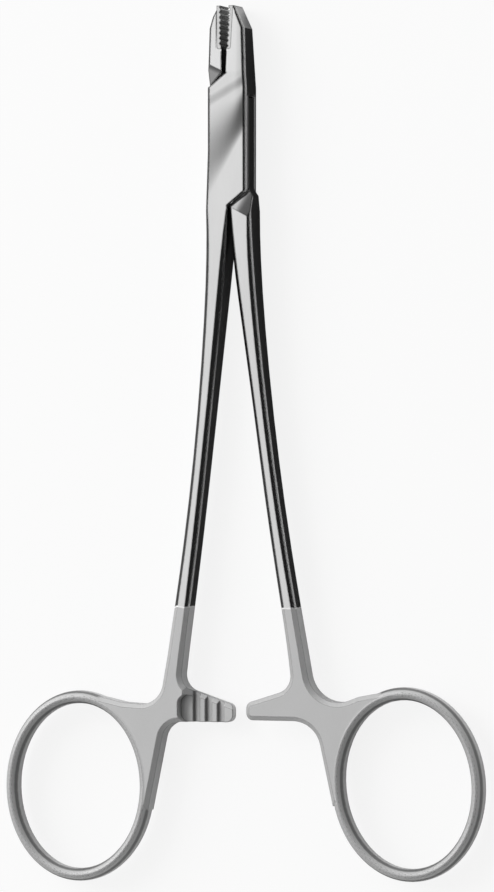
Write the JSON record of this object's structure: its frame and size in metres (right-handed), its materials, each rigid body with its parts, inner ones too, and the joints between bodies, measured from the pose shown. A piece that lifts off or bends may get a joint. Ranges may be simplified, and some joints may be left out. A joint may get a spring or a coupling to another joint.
{
  "type": "wire twisting forceps",
  "caption": "Ring-handled surgical forceps with a box lock, carbide jaw inserts, bowed shanks and a ratchet, jaws a little open.",
  "frame": {"origin": "on the pivot axis of the box lock, in the plane of the lock's back face that the forceps lies on", "axes": "+Y from the finger rings to the jaws, +Z out of the front face along the pivot, +X to the right seen from the front with the jaws up"},
  "size_m": [0.0867, 0.1503, 0.0058],
  "materials": {
    "steel": "polished lock, jaws and shanks, satin handles",
    "carbide": "ground, serrated"
  },
  "bodies": {
    "left_handle": {"box_half": "steel", "right_jaw_insert": "carbide", "lock_rivet": "steel"},
    "right_handle": {"tongue_half": "steel", "left_jaw_insert": "carbide"}
  },
  "joints": [
    {"name": "pivot", "type": "hinge", "parent": "left_handle", "child": "right_handle", "pos_m": [0, 0, 0], "axis": [0, 0, 1], "range_deg": [-3.3, 45]}
  ]
}
